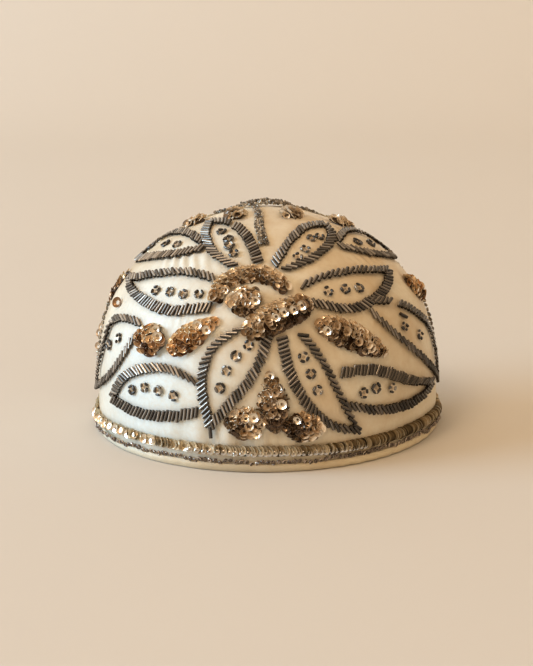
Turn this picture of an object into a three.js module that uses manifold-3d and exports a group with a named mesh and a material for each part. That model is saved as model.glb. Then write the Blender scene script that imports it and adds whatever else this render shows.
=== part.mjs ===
// A beaded half hat: a satin shell over the front and top of the head, open at the
// back. Its edge is bound, a line of beads and a band of sequins follow the binding,
// and leaves of bugle beads and mounds of sequins are sewn over the crown.
//
// Millimetres, +Z up, the front facing -Y. A place on the crown is given by az, its
// angle in degrees from the front towards +X, and up, its height above the rim
// measured along the surface.
import * as THREE from 'three';
import Module from 'manifold-3d';

const wasm = await Module();
wasm.setup();

// ---- driving dimensions --------------------------------------------------------------

const CROWN = {
  halfWidth: 85,
  halfDepth: 84,
  height: 109,
  wallPower: 3.6, // how upright the wall stands before it turns over the top
  topPower: 1.5, // how pointed the top is: 2 is round, 1 a cone
  thick: 2,
  columns: 72,
  rows: 11,
};
// The back edge lies in a plane that leans back, and meets the rim in a round corner.
const OPENING = { atRim: 24, lean: 0.18, corner: 16 };
const CORNER_DENSITY = 2.2; // how much closer the stations lie in the corners
const GAP = 0.3; // between any two pieces
const BINDING = { tall: 4.1, thick: 0.6, seat: 1.2, stations: 72 };
const BEAD_LINE = { inset: 5.5, sag: 3.5, wide: 1.8, stations: 72 };
const BAND = { inset: 10.8, sag: 3.6, wide: 5.4, thick: 0.8, stations: 72 };
// Towards the two ends of the rim the bead line and the band sag closer to the edge.
const SAGS = [
  { az: -90, spread: 28 },
  { az: 91, spread: 18 },
];
const BUGLE = { long: 5, thick: 1.5 };
const LEAF = { stations: 9, tipReach: 1.5 }; // for each side
const MOUND = { stations: 8, archPoints: 5, end: 0.03, footRise: 0.22 };
const STRIP_STATIONS = 7;
const SEED_STRIP = 1.6;

// ---- the crown's surface -------------------------------------------------------------

const RAY_CENTRE = new THREE.Vector3(0, 0, 25);
const PROFILE = meridian(1500);
const APEX_UP = PROFILE[PROFILE.length - 1].up;

/** The crown's profile from the rim to the apex: reach 1 at the rim, 0 at the apex. */
function meridian(steps) {
  const rows = [];
  let up = 0;
  for (let i = 0; i <= steps; i++) {
    const angle = (i / steps) * (Math.PI / 2);
    const reach = i === steps ? 0 : Math.cos(angle) ** (2 / CROWN.topPower);
    const z = CROWN.height * Math.sin(angle) ** (2 / CROWN.wallPower);
    const last = rows[i - 1];
    if (last) up += Math.hypot((reach - last.reach) * CROWN.halfWidth, z - last.z);
    rows.push({ reach, z, up });
  }
  return rows;
}

function lookUp(key, value) {
  let low = 0;
  let high = PROFILE.length - 1;
  while (high - low > 1) {
    const middle = (low + high) >> 1;
    if (PROFILE[middle][key] <= value) low = middle;
    else high = middle;
  }
  const a = PROFILE[low];
  const b = PROFILE[high];
  const t = THREE.MathUtils.clamp((value - a[key]) / (b[key] - a[key] || 1), 0, 1);
  return {
    reach: a.reach + (b.reach - a.reach) * t,
    z: a.z + (b.z - a.z) * t,
    up: a.up + (b.up - a.up) * t,
  };
}

function surfacePoint(az, up) {
  const angle = THREE.MathUtils.degToRad(az);
  const { reach, z } = lookUp('up', up);
  return new THREE.Vector3(
    CROWN.halfWidth * reach * Math.sin(angle),
    -CROWN.halfDepth * reach * Math.cos(angle),
    z,
  );
}

function azimuthOf(p) {
  const angle = Math.atan2(p.x / CROWN.halfWidth, -p.y / CROWN.halfDepth);
  return THREE.MathUtils.radToDeg(angle);
}

function reachOf(p) {
  return Math.hypot(p.x / CROWN.halfWidth, p.y / CROWN.halfDepth);
}

function isOutside(p) {
  const rise = Math.max(p.z, 0) / CROWN.height;
  return reachOf(p) ** CROWN.topPower + rise ** CROWN.wallPower > 1;
}

function outward(p) {
  const reach = reachOf(p) + 1e-9;
  const side = (CROWN.topPower * reach ** (CROWN.topPower - 1)) / reach;
  const rise = Math.max(p.z, 0) / CROWN.height;
  return new THREE.Vector3(
    (side * p.x) / CROWN.halfWidth ** 2,
    (side * p.y) / CROWN.halfDepth ** 2,
    (CROWN.wallPower * rise ** (CROWN.wallPower - 1)) / CROWN.height,
  ).normalize();
}

/** Moves a point onto the crown along its ray from a centre inside the hat. */
function layOn(p) {
  const ray = p.clone().sub(RAY_CENTRE).normalize();
  let near = 0;
  let far = 4 * CROWN.height;
  for (let i = 0; i < 40; i++) {
    const middle = (near + far) / 2;
    if (isOutside(RAY_CENTRE.clone().addScaledVector(ray, middle))) far = middle;
    else near = middle;
  }
  const laid = RAY_CENTRE.clone().addScaledVector(ray, (near + far) / 2);
  if (Math.abs(laid.z) < 1e-6) laid.z = 0; // the rim is exactly flat
  return laid;
}

// ---- the edge of the crown -----------------------------------------------------------

/** How far a surface point lies inside the edge, which is the rim and the back opening. */
function insideEdge(p, up) {
  const fromRim = up;
  const planeY = OPENING.atRim + OPENING.lean * p.z;
  const fromBack = (planeY - p.y) / Math.hypot(1, OPENING.lean);
  const { corner } = OPENING;
  if (fromRim > corner || fromBack > corner) return Math.min(fromRim, fromBack);
  return corner - Math.hypot(corner - fromRim, corner - fromBack);
}

function edgePoint(az) {
  if (insideEdge(surfacePoint(az, 0), 0) >= 0) return surfacePoint(az, 0);
  let low = 0;
  let high = APEX_UP;
  for (let i = 0; i < 40; i++) {
    const middle = (low + high) / 2;
    if (insideEdge(surfacePoint(az, middle), middle) < 0) low = middle;
    else high = middle;
  }
  return surfacePoint(az, high);
}

/** Points round the whole edge from the front centre towards +X, closer in the corners. */
function edgeLoop(count) {
  const fine = [];
  const fineCount = 1440;
  for (let i = 0; i <= fineCount; i++) {
    const az = (i / fineCount) * 360;
    const point = edgePoint(az);
    const last = fine[i - 1];
    const density = point.z > 0 && point.z < OPENING.corner ? CORNER_DENSITY : 1;
    const step = last ? last.point.distanceTo(point) * density : 0;
    fine.push({ az, run: last ? last.run + step : 0, point });
  }
  const total = fine[fineCount].run;
  const loop = [];
  let k = 0;
  for (let i = 0; i < count; i++) {
    const run = (i / count) * total;
    while (fine[k + 1].run < run) k++;
    const t = (run - fine[k].run) / (fine[k + 1].run - fine[k].run);
    loop.push(edgePoint(fine[k].az + (fine[k + 1].az - fine[k].az) * t));
  }
  return loop;
}

/** How much of its full sag a trim has where it passes a point of the edge, 0 to 1. */
function sagShare(point) {
  const az = azimuthOf(point);
  return SAGS.reduce((sum, row) => sum + Math.exp(-(((az - row.az) / row.spread) ** 2)), 0);
}

/** The edge loop moved inwards over the surface by an inset, less where it sags. */
function insetLoop(count, inset, sag = 0) {
  const loop = edgeLoop(count);
  return loop.map((point, i) => {
    const along = loop[(i + 1) % count].clone().sub(loop[(i + count - 1) % count]);
    const inwards = outward(point).cross(along).normalize();
    return layOn(point.clone().addScaledVector(inwards, inset - sag * sagShare(point)));
  });
}

// ---- closed bodies -------------------------------------------------------------------

/** A closed mesh from points and faces, turned so that its faces point outwards. */
function solid(points, faces) {
  let volume = 0;
  for (const [a, b, c] of faces) {
    volume += points[a].dot(points[b].clone().cross(points[c]));
  }
  const facing = volume < 0 ? faces.map(([a, b, c]) => [a, c, b]) : faces;
  const geometry = new THREE.BufferGeometry().setFromPoints(points);
  geometry.setIndex(facing.flat());
  geometry.computeVertexNormals();
  return geometry;
}

/**
 * Sweeps a closed section along a path on the crown. stations holds
 * { point, side, wide, tall, lift }: side is the direction across the path, wide and
 * tall stretch the section, which holds { across, rise } in millimetres, and lift
 * raises it.
 */
function sweep(stations, section, closed) {
  const size = section.length;
  const points = [];
  for (const { point, side, wide = 1, tall = 1, lift = 0 } of stations) {
    for (const { across, rise } of section) {
      const seat = layOn(point.clone().addScaledVector(side, across * wide));
      points.push(seat.addScaledVector(outward(seat), GAP + lift + (rise - GAP) * tall));
    }
  }
  const faces = [];
  const spans = closed ? stations.length : stations.length - 1;
  for (let i = 0; i < spans; i++) {
    const here = i * size;
    const next = ((i + 1) % stations.length) * size;
    for (let j = 0; j < size; j++) {
      const k = (j + 1) % size;
      faces.push([here + j, next + j, next + k], [here + j, next + k, here + k]);
    }
  }
  if (!closed) {
    const last = (stations.length - 1) * size;
    for (let j = 1; j < size - 1; j++) {
      faces.push([0, j, j + 1], [last, last + j + 1, last + j]);
    }
  }
  return solid(points, faces);
}

/** Stations along points on the crown, each with its direction across the path. */
function stationsAlong(points, closed = false) {
  const count = points.length;
  return points.map((point, i) => {
    const before = closed ? points[(i + count - 1) % count] : points[Math.max(i - 1, 0)];
    const after = closed ? points[(i + 1) % count] : points[Math.min(i + 1, count - 1)];
    const side = outward(point).cross(after.clone().sub(before)).normalize();
    return { point, side };
  });
}

/** Evenly spaced points on the crown along a smooth line through [az, up] places. */
function smoothLine(places, count) {
  const through = places.map(([az, up]) => surfacePoint(az, up));
  const curve = new THREE.CatmullRomCurve3(through, false, 'centripetal');
  return curve.getSpacedPoints(count - 1).map(layOn);
}

function flatSection(wide, thick) {
  return [
    { across: -wide / 2, rise: GAP },
    { across: wide / 2, rise: GAP },
    { across: wide / 2, rise: GAP + thick },
    { across: -wide / 2, rise: GAP + thick },
  ];
}

/** Joins two closed bodies that reach into each other. */
function joined(first, second) {
  const [a, b] = [first, second].map((geometry) => {
    const vertProperties = new Float32Array(geometry.attributes.position.array);
    const triVerts = new Uint32Array(geometry.index.array);
    return new wasm.Manifold(new wasm.Mesh({ numProp: 3, vertProperties, triVerts }));
  });
  const mesh = a.add(b).getMesh();
  const geometry = new THREE.BufferGeometry();
  geometry.setAttribute('position', new THREE.BufferAttribute(mesh.vertProperties, 3));
  geometry.setIndex(new THREE.BufferAttribute(mesh.triVerts, 1));
  geometry.computeVertexNormals();
  return geometry;
}

// ---- shell and edge trims ------------------------------------------------------------

/** The satin shell: an outer and an inner skin that meet along the edge. */
function crownShell() {
  const { columns, rows, thick } = CROWN;
  const foot = insetLoop(columns, BINDING.seat + GAP);
  const outer = [];
  for (let row = 0; row < rows; row++) {
    for (const start of foot) {
      const from = lookUp('z', start.z).up;
      outer.push(surfacePoint(azimuthOf(start), from + ((APEX_UP - from) * row) / rows));
    }
  }
  outer.push(surfacePoint(0, APEX_UP));
  const inner = outer.map((p) => p.clone().addScaledVector(outward(p), -thick));
  const count = outer.length;
  const apex = count - 1;
  const faces = [];
  const addBoth = (a, b, c) => faces.push([a, b, c], [a + count, c + count, b + count]);
  for (let i = 0; i < columns; i++) {
    const j = (i + 1) % columns;
    for (let row = 0; row < rows - 1; row++) {
      const low = row * columns;
      const high = low + columns;
      addBoth(low + i, low + j, high + j);
      addBoth(low + i, high + j, high + i);
    }
    const top = (rows - 1) * columns;
    addBoth(top + i, top + j, apex);
    faces.push([i, i + count, j + count], [i, j + count, j]);
  }
  return solid([...outer, ...inner], faces);
}

/** The binding folds over the crown's raw edge, with a flat underside along the rim. */
function edgeBinding() {
  const stations = stationsAlong(edgeLoop(BINDING.stations), true);
  const face = GAP + BINDING.thick;
  const lining = -CROWN.thick - 2 * GAP;
  const section = [
    { across: 0, rise: face },
    { across: BINDING.tall, rise: face },
    { across: BINDING.tall, rise: GAP },
    { across: BINDING.seat, rise: GAP },
    { across: BINDING.seat, rise: lining },
    { across: BINDING.tall, rise: lining },
    { across: BINDING.tall, rise: lining - BINDING.thick },
    { across: 0, rise: lining - BINDING.thick },
  ];
  return sweep(stations, section, true);
}

/** Where the bead line sags it climbs onto the binding. */
function beadLine() {
  const { stations: count, inset, sag, wide } = BEAD_LINE;
  const stations = stationsAlong(insetLoop(count, inset, sag), true);
  edgeLoop(count).forEach((point, i) => {
    const climbed = THREE.MathUtils.clamp((sag * sagShare(point)) / GAP, 0, 1);
    stations[i].lift = climbed * (BINDING.thick + GAP);
  });
  const r = wide / 2;
  const section = [
    { across: -r, rise: GAP },
    { across: r, rise: GAP },
    { across: r, rise: GAP + r },
    { across: 0, rise: GAP + wide },
    { across: -r, rise: GAP + r },
  ];
  return sweep(stations, section, true);
}

function sequinBand() {
  const loop = insetLoop(BAND.stations, BAND.inset, BAND.sag);
  return sweep(stationsAlong(loop, true), flatSection(BAND.wide, BAND.thick), true);
}

// ---- leaves of bugle beads -----------------------------------------------------------

// Each leaf is an outline of beads laid across its line. one and other are its two
// sides, each from the leaf's foot towards its tip, as [az, up] places.
const LEAVES = [
  {
    name: 'leaf_top_left',
    one: [[-16, 100], [-31, 108], [-52, 120]],
    tip: [-73, 129],
    other: [[-4, 103], [-8, 113], [-19, 125], [-45, 132]],
  },
  {
    name: 'leaf_top_right',
    one: [[4, 101], [10, 110], [21, 120], [39, 127]],
    tip: [66, 125],
    other: [[9, 98], [25, 104], [44, 112], [58, 119]],
  },
  {
    name: 'leaf_middle_left',
    one: [[-21, 77], [-38, 73], [-56, 75], [-69, 78]],
    tip: [-78, 80.5],
    other: [[-23, 92], [-38, 94], [-54, 90], [-68, 84]],
  },
  {
    name: 'leaf_middle_right',
    one: [[15, 88], [25, 92], [42, 93], [56, 90]],
    tip: [67, 87],
    other: [[18, 79], [32, 74], [45, 76], [60, 82]],
  },
  {
    name: 'leaf_front_left',
    one: [[-9, 68], [-18, 58], [-21, 45], [-20, 32]],
    tip: [-18, 22],
    other: [[0, 62], [-2, 54], [-6, 43], [-13, 31]],
  },
  {
    name: 'leaf_front_right',
    one: [[5, 64], [8, 48], [14, 33], [21, 23]],
    tip: [29, 18],
    other: [[12, 65], [18, 52], [23, 36], [27, 23]],
  },
  {
    name: 'leaf_rim_left',
    one: [[-23, 28], [-32, 24], [-46, 22]],
    tip: [-61, 24],
    other: [[-25, 43], [-33, 46], [-43, 44], [-54, 36]],
  },
  {
    name: 'leaf_rim_right',
    one: [[25, 45], [36, 44], [48, 37], [59, 31]],
    tip: [72, 26],
    other: [[29, 28], [36, 25], [46, 23], [59, 23]],
  },
  {
    name: 'leaf_side_left',
    one: [[-53, 54], [-57, 44], [-65, 33], [-76, 25]],
    tip: [-86, 20],
    other: [[-54, 64], [-62, 63], [-71, 57], [-73, 46], [-80, 31]],
  },
  {
    name: 'leaf_side_right',
    one: [[52, 74], [60, 69], [69, 61], [78, 50]],
    tip: [87, 21],
    other: [[43, 68], [49, 58], [60, 45], [74, 31]],
  },
  {
    name: 'leaf_crown_left',
    one: [[-45, 108], [-56, 103], [-72, 96], [-87, 90]],
    tip: [-101, 86],
    other: [[-56, 115], [-66, 116], [-80, 114], [-94, 105]],
  },
  {
    name: 'leaf_crown_right',
    one: [[62, 114], [72, 115], [84, 112], [96, 104]],
    tip: [102, 85],
    other: [[55, 105], [63, 101], [75, 95], [89, 89]],
  },
];

/** One side of a leaf: a strip of beads from its foot to just past its tip. */
function leafSide(places, tip) {
  const line = smoothLine([...places, tip], LEAF.stations);
  const end = line[line.length - 1];
  const onwards = end.clone().sub(line[line.length - 2]).setLength(LEAF.tipReach);
  end.copy(layOn(end.clone().add(onwards)));
  return sweep(stationsAlong(line), flatSection(BUGLE.long, BUGLE.thick), false);
}

function leaf({ one, tip, other }) {
  return joined(leafSide(one, tip), leafSide(other, tip));
}

// ---- mounds of sequins ---------------------------------------------------------------

// path is the mound's spine as [az, up] places. lean moves its widest part along the
// spine (1 is the middle), and blunt rounds its ends: near 0 a roll, 1 a pointed leaf.
const MOUNDS = [
  {
    name: 'sequins_arch',
    path: [[-20.5, 80], [-18.5, 89], [-9, 95.5], [3, 93.5], [8.5, 86.5]],
    half: 3.8, rise: 4.6, lean: 1, blunt: 0.2,
  },
  { name: 'sequins_bloom', path: [[-14.2, 79.5], [-2.8, 81.5]], half: 7.2, rise: 5.5, lean: 1, blunt: 0.5 },
  { name: 'sequins_bar', path: [[-7, 66], [16.8, 79]], half: 7, rise: 6, lean: 1, blunt: 0.3 },
  {
    name: 'sequins_berry_left',
    path: [[-49, 57], [-36.5, 58]], half: 7.6, rise: 5, lean: 1, blunt: 0.45,
  },
  {
    name: 'sequins_bud_left',
    path: [[-33, 55], [-18, 71]], half: 5.6, rise: 4.5, lean: 0.7, blunt: 0.7,
  },
  {
    name: 'sequins_bud_right',
    path: [[18, 69], [43, 50]], half: 6.5, rise: 4.5, lean: 0.8, blunt: 0.7,
  },
  {
    name: 'sequins_front_top',
    path: [[1, 47], [2.5, 20]], half: 6.8, rise: 5, lean: 1.2, blunt: 0.9,
  },
  {
    name: 'sequins_front_left',
    path: [[-12.6, 24], [-1.6, 24]], half: 7.5, rise: 4.5, lean: 1, blunt: 0.5,
  },
  {
    name: 'sequins_front_right',
    path: [[5, 22.5], [17, 20.5]], half: 7, rise: 4.5, lean: 1, blunt: 0.5,
  },
  {
    name: 'sequins_top_left',
    path: [[-40, 139], [-82, 140]], half: 5, rise: 3.2, lean: 1, blunt: 0.8,
  },
  {
    name: 'sequins_top_right',
    path: [[30, 141], [76, 139]], half: 5, rise: 3.2, lean: 1, blunt: 0.8,
  },
  {
    name: 'sequins_shoulder_left',
    path: [[-93, 127], [-101, 115]], half: 4.5, rise: 2.8, lean: 1, blunt: 0.7,
  },
  {
    name: 'sequins_shoulder_right',
    path: [[92, 125], [101, 111]], half: 4.8, rise: 2.8, lean: 1, blunt: 0.7,
  },
  {
    name: 'sequins_side_right',
    path: [[76, 78], [88, 64]], half: 4.8, rise: 3.6, lean: 1, blunt: 0.5,
  },
  {
    name: 'sequins_side_left',
    path: [[-87, 82], [-90, 63]], half: 3.2, rise: 2, lean: 1, blunt: 0.6,
  },
];

function mound({ path, half, rise, lean, blunt }) {
  const { stations: count, archPoints, end, footRise } = MOUND;
  const stations = stationsAlong(smoothLine(path, count));
  stations.forEach((station, i) => {
    const along = THREE.MathUtils.lerp(end, 1 - end, i / (count - 1));
    station.wide = Math.sin(Math.PI * along ** lean) ** blunt;
    station.tall = Math.sqrt(station.wide);
  });
  const section = [-half, 0, half].map((across) => ({ across, rise: GAP }));
  for (let i = 0; i < archPoints; i++) {
    const angle = THREE.MathUtils.lerp(footRise, Math.PI - footRise, i / (archPoints - 1));
    section.push({ across: half * Math.cos(angle), rise: GAP + rise * Math.sin(angle) });
  }
  return sweep(stations, section, false);
}

// ---- strips of seed beads ------------------------------------------------------------

// wide is the strip's width at each of its path's ends.
const STRIPS = [
  { name: 'bead_stem', path: [[-18, 147], [-6, 131], [-1, 116]], wide: [3.2, 4.8] },
  { name: 'bead_line_side_left', path: [[-93, 60], [-92, 45], [-91, 30]], wide: [2, 2] },
  { name: 'bead_line_side_right', path: [[94, 62], [92, 45], [91, 30]], wide: [2, 2] },
];
// A bar of seed beads lies across the top behind the stem, with a thin tail each side.
const TOP_BAR = {
  steps: 16,
  behindApex: 8,
  bend: 13, // how much further back the ends lie than the middle
  halfLong: 27,
  halfThick: 14,
  wide: 11,
  tall: 2.8,
  tail: 2,
};

function strip({ path, wide }) {
  const stations = stationsAlong(smoothLine(path, STRIP_STATIONS));
  stations.forEach((station, i) => {
    station.wide = THREE.MathUtils.lerp(wide[0], wide[1], i / (STRIP_STATIONS - 1));
  });
  return sweep(stations, flatSection(1, SEED_STRIP), false);
}

function topBar() {
  const { steps, behindApex, bend, halfLong, halfThick, wide, tall, tail } = TOP_BAR;
  const line = [];
  for (let i = 0; i <= steps; i++) {
    const x = THREE.MathUtils.lerp(-halfLong, halfLong, i / steps);
    const y = behindApex + bend * (x / halfLong) ** 2;
    line.push(layOn(new THREE.Vector3(x, y, CROWN.height)));
  }
  const stations = stationsAlong(line);
  stations.forEach((station, i) => {
    const swell = Math.sqrt(Math.max(0, 1 - (line[i].x / halfThick) ** 2));
    station.wide = THREE.MathUtils.lerp(tail, wide, swell);
    station.tall = THREE.MathUtils.lerp(1, tall / SEED_STRIP, swell);
  });
  return sweep(stations, flatSection(1, SEED_STRIP), false);
}

// ---- the hat -------------------------------------------------------------------------

const MATERIALS = {
  satin: { color: 0xe6dcc0, roughness: 0.42, metalness: 0 },
  bugles: { color: 0x3a3734, roughness: 0.2, metalness: 0.6 },
  sequins: { color: 0xa87443, roughness: 0.25, metalness: 0.8 },
  goldSequins: { color: 0x9c8350, roughness: 0.3, metalness: 0.8 },
  seedBeads: { color: 0x4a4036, roughness: 0.25, metalness: 0.5 },
};

function named(name, geometry, look) {
  const mesh = new THREE.Mesh(geometry, new THREE.MeshStandardMaterial(MATERIALS[look]));
  mesh.name = name;
  return mesh;
}

const hat = new THREE.Group();
hat.add(named('crown', crownShell(), 'satin'));
hat.add(named('edge_binding', edgeBinding(), 'satin'));
hat.add(named('bead_line', beadLine(), 'seedBeads'));
hat.add(named('sequin_band', sequinBand(), 'goldSequins'));
for (const row of LEAVES) hat.add(named(row.name, leaf(row), 'bugles'));
for (const row of MOUNDS) hat.add(named(row.name, mound(row), 'sequins'));
for (const row of STRIPS) hat.add(named(row.name, strip(row), 'seedBeads'));
hat.add(named('bead_bar_top', topBar(), 'seedBeads'));

// The origin is under the middle of the hat, at the level of its rim.
const bounds = new THREE.Box3().setFromObject(hat);
const middle = bounds.getCenter(new THREE.Vector3());
hat.position.set(-middle.x, -middle.y, 0);

export default hat;
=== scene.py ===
"""The looks of a beaded half hat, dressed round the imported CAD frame.

Lengths are millimetres in the crown's own frame until a mesh is made, with the front
facing -Y. A place on the crown is given by az, its angle in degrees from the front
towards +X, and up, its height above the rim measured along the surface.
"""
from math import cos, hypot, pi, radians, sin, sqrt, tan

import bpy
import numpy as np
from mathutils import Matrix, Vector


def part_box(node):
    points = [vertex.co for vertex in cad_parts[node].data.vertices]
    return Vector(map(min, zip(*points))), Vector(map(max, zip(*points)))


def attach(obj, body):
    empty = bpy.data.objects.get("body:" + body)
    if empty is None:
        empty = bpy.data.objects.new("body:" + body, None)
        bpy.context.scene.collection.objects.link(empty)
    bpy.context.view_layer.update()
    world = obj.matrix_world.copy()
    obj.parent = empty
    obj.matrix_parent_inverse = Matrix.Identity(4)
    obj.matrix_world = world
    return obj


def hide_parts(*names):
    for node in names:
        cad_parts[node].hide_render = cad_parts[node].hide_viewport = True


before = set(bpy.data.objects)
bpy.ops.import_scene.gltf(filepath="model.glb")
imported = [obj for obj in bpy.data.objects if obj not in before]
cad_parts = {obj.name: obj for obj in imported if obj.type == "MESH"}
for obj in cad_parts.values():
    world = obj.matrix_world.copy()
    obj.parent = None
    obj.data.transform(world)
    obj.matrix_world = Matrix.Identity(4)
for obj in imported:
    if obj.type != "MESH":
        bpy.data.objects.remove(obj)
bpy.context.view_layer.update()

MM = 0.001
# The crown is where its reach from the axis, a share of these, and its rise, each to its
# own power, add up to 1.
HALF_WIDTH, HALF_DEPTH, HEIGHT = 85.0, 84.0, 109.0
REACH_POWER, RISE_POWER = 1.5, 3.6
SHELL_THICK = 2.0
OPENING = dict(at_rim=24.0, lean=0.18, corner=16.0)
RAY_CENTRE = np.array([0.0, 0.0, 25.0])
BINDING_SEAT = 1.5
# The frame's origin is under the middle of the hat, so its crown lies further back.
SHIFT = np.array([0.0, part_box("crown")[0][1] / MM + HALF_DEPTH, 0.0])


# ---- the crown's surface ----

angles = np.linspace(0, pi / 2, 3001)
PROFILE_REACH = np.cos(angles) ** (2 / REACH_POWER)
PROFILE_REACH[-1] = 0
PROFILE_Z = HEIGHT * np.sin(angles) ** (2 / RISE_POWER)
climb = np.hypot(np.diff(PROFILE_REACH) * HALF_WIDTH, np.diff(PROFILE_Z))
PROFILE_UP = np.concatenate([[0], np.cumsum(climb)])
APEX_UP = PROFILE_UP[-1]


def unit(v):
    return v / np.linalg.norm(v, axis=-1, keepdims=True)


def surface(az, up):
    """Points on the crown."""
    angle = np.radians(az)
    reach = np.interp(up, PROFILE_UP, PROFILE_REACH)
    z = np.interp(up, PROFILE_UP, PROFILE_Z)
    x = HALF_WIDTH * reach * np.sin(angle)
    y = -HALF_DEPTH * reach * np.cos(angle)
    return np.stack(np.broadcast_arrays(x, y, z), -1)


def reach_of(p):
    return np.hypot(p[..., 0] / HALF_WIDTH, p[..., 1] / HALF_DEPTH)


def azimuth_of(p):
    return np.degrees(np.arctan2(p[..., 0] / HALF_WIDTH,
                                 -p[..., 1] / HALF_DEPTH))


def up_of(p):
    return np.interp(p[..., 2], PROFILE_Z, PROFILE_UP)


def outward(p):
    """The crown's outward normal."""
    reach = reach_of(p) + 1e-9
    side = REACH_POWER * reach ** (REACH_POWER - 2)
    rise = np.maximum(p[..., 2], 0) / HEIGHT
    slope = RISE_POWER * rise ** (RISE_POWER - 1) / HEIGHT
    return unit(np.stack([side * p[..., 0] / HALF_WIDTH ** 2,
                          side * p[..., 1] / HALF_DEPTH ** 2, slope], -1))


def halved(low, high, beyond):
    """Narrows low and high down to where a test turns true between them."""
    for _ in range(36):
        middle = (low + high) / 2
        past = beyond(middle)
        low, high = np.where(past, low, middle), np.where(past, middle, high)
    return low, high


def lay_on(p):
    """Moves points onto the crown along rays from a centre inside the hat."""
    ray = unit(p - RAY_CENTRE)

    def outside(far):
        at = RAY_CENTRE + ray * far[..., None]
        rise = np.maximum(at[..., 2], 0) / HEIGHT
        return reach_of(at) ** REACH_POWER + rise ** RISE_POWER > 1

    near, far = halved(np.zeros(p.shape[:-1]), np.full(p.shape[:-1], 4 * HEIGHT), outside)
    return RAY_CENTRE + ray * ((near + far) / 2)[..., None]


def read_at(at, known, points):
    """Points of a line at some places, from its points at known places."""
    return np.stack([np.interp(at, known, points[:, k]) for k in range(3)], -1)


def at_share(points, share):
    """Points at shares of the way along a line of evenly spaced points."""
    return read_at(share * (len(points) - 1), np.arange(len(points)), points)


def even(points, count, closed=False):
    """Evenly spaced points along a polyline."""
    if closed:
        points = np.concatenate([points, points[:1]])
    runs = np.concatenate([[0], np.cumsum(np.linalg.norm(np.diff(points, axis=0), axis=1))])
    return read_at(np.linspace(0, runs[-1], count, endpoint=not closed), runs, points)


def length_of(points):
    return np.linalg.norm(np.diff(points, axis=0), axis=1).sum()


def smooth_line(places, samples=24):
    """A fine centripetal Catmull-Rom line on the crown through [az, up] places."""
    p = surface(*np.array(places, float).T)
    p = np.concatenate([[2 * p[0] - p[1]], p, [2 * p[-1] - p[-2]]])
    t = np.linspace(0, 1, samples, endpoint=False)[:, None]
    out = []
    for a, b, c, d in zip(p, p[1:], p[2:], p[3:]):
        ab, bc, cd = (sqrt(np.linalg.norm(v)) for v in (b - a, c - b, d - c))
        leave = ((b - a) / ab - (c - a) / (ab + bc) + (c - b) / bc) * bc
        arrive = ((c - b) / bc - (d - b) / (bc + cd) + (d - c) / cd) * bc
        out.append(b + leave * t + (3 * (c - b) - 2 * leave - arrive) * t ** 2
                   + (2 * (b - c) + leave + arrive) * t ** 3)
    return lay_on(np.concatenate([*out, p[-2:-1]]))


def along(points, closed=False):
    """The unit direction along a line of points."""
    if closed:
        return unit(np.roll(points, -1, 0) - np.roll(points, 1, 0))
    return unit(np.gradient(points, axis=0))


# ---- the edge of the crown ----

def inside_edge(p, up):
    """How far a surface point lies inside the rim and the back opening."""
    plane_y = OPENING["at_rim"] + OPENING["lean"] * p[..., 2]
    from_back = (plane_y - p[..., 1]) / hypot(1, OPENING["lean"])
    corner = OPENING["corner"]
    rounded = corner - np.hypot(corner - up, corner - from_back)
    straight = np.minimum(up, from_back)
    return np.where((up > corner) | (from_back > corner), straight, rounded)


def edge_points(az):
    """The edge's points at some angles: on the rim, or above it at the back."""
    def inside(up):
        return inside_edge(surface(az, up), up) >= 0

    rim = np.zeros(len(az))
    cut = halved(rim, np.full(len(az), APEX_UP), inside)[1]
    return surface(az, np.where(inside(rim), 0, cut))


EDGE = edge_points(np.linspace(0, 360, 2880, endpoint=False))


def inwards_from(loop):
    return unit(np.cross(outward(loop), along(loop, closed=True)))


def edge_loop(count, inset=0.0):
    """Even points round the edge from the front centre towards +X, moved inwards."""
    loop = even(EDGE, count, closed=True)
    if not np.any(inset):
        return loop
    return lay_on(loop + inwards_from(loop) * np.reshape(inset, (-1, 1)))


# Towards the two ends of the rim the bead line and the band sag closer to the edge.
SAGS = [dict(az=-90.0, spread=28.0), dict(az=91.0, spread=18.0)]
BEAD_LINE = dict(inset=5.5, sag=3.5)
BAND = dict(inset=10.8, sag=3.6)


def sag_share(count):
    """How much of its full sag a trim has round the edge loop, 0 to 1."""
    az = azimuth_of(edge_loop(count))
    return sum(np.exp(-((az - row["az"]) / row["spread"]) ** 2) for row in SAGS)


def trim_line(row, count, shift=0.0):
    """Even points along a trim that follows the edge."""
    return edge_loop(count, row["inset"] - row["sag"] * sag_share(count) + shift)


# ---- meshes ----

def grid_faces(rows, columns, wrap_rows=False, wrap_columns=False):
    """Quads between the points of a grid, numbered row by row."""
    i = np.arange(rows if wrap_rows else rows - 1)[:, None]
    j = np.arange(columns if wrap_columns else columns - 1)[None, :]
    k, m = (i + 1) % rows, (j + 1) % columns
    corners = [i * columns + j, k * columns + j, k * columns + m, i * columns + m]
    return np.stack(np.broadcast_arrays(*corners), -1).reshape(-1, 4)


def add_object(name, data, **settings):
    """An object in the scene, with settings for its data."""
    for key, value in settings.items():
        setattr(data, key, value)
    obj = bpy.data.objects.new(name, data)
    bpy.context.scene.collection.objects.link(obj)
    return obj


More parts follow.
